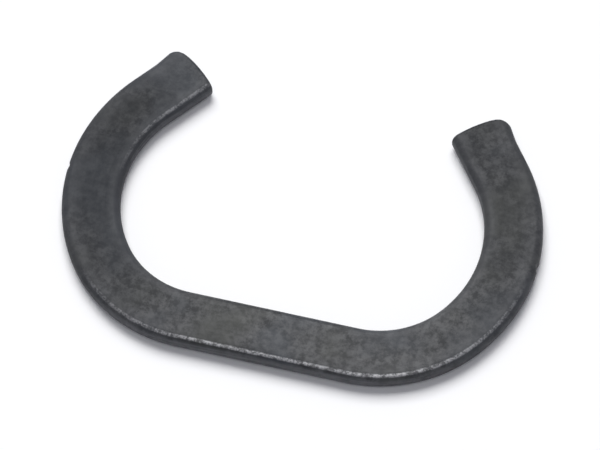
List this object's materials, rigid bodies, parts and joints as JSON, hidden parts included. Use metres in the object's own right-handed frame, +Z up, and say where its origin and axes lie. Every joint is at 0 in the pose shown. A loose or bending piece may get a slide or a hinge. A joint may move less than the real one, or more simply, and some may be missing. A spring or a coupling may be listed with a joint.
{
  "type": "retaining ring",
  "caption": "Open C-shaped retaining ring of flat black spring wire, with a straight spine, rounded arms and sheared tips. It snaps into a groove and holds parts on a post.",
  "frame": {"origin": "under the middle of the ring's outline, on the face that it lies on", "axes": "+Z up, square to the flat faces; +X along the straight spine; +Y from the spine to the mouth"},
  "size_m": [0.0264, 0.0174, 0.0011],
  "materials": {
    "black_oxide_steel": "satin black oxide over rolled flat spring wire, slightly mottled, brighter where edges are worn"
  },
  "bodies": {
    "root": {"retaining_ring": "black_oxide_steel"}
  },
  "joints": []
}
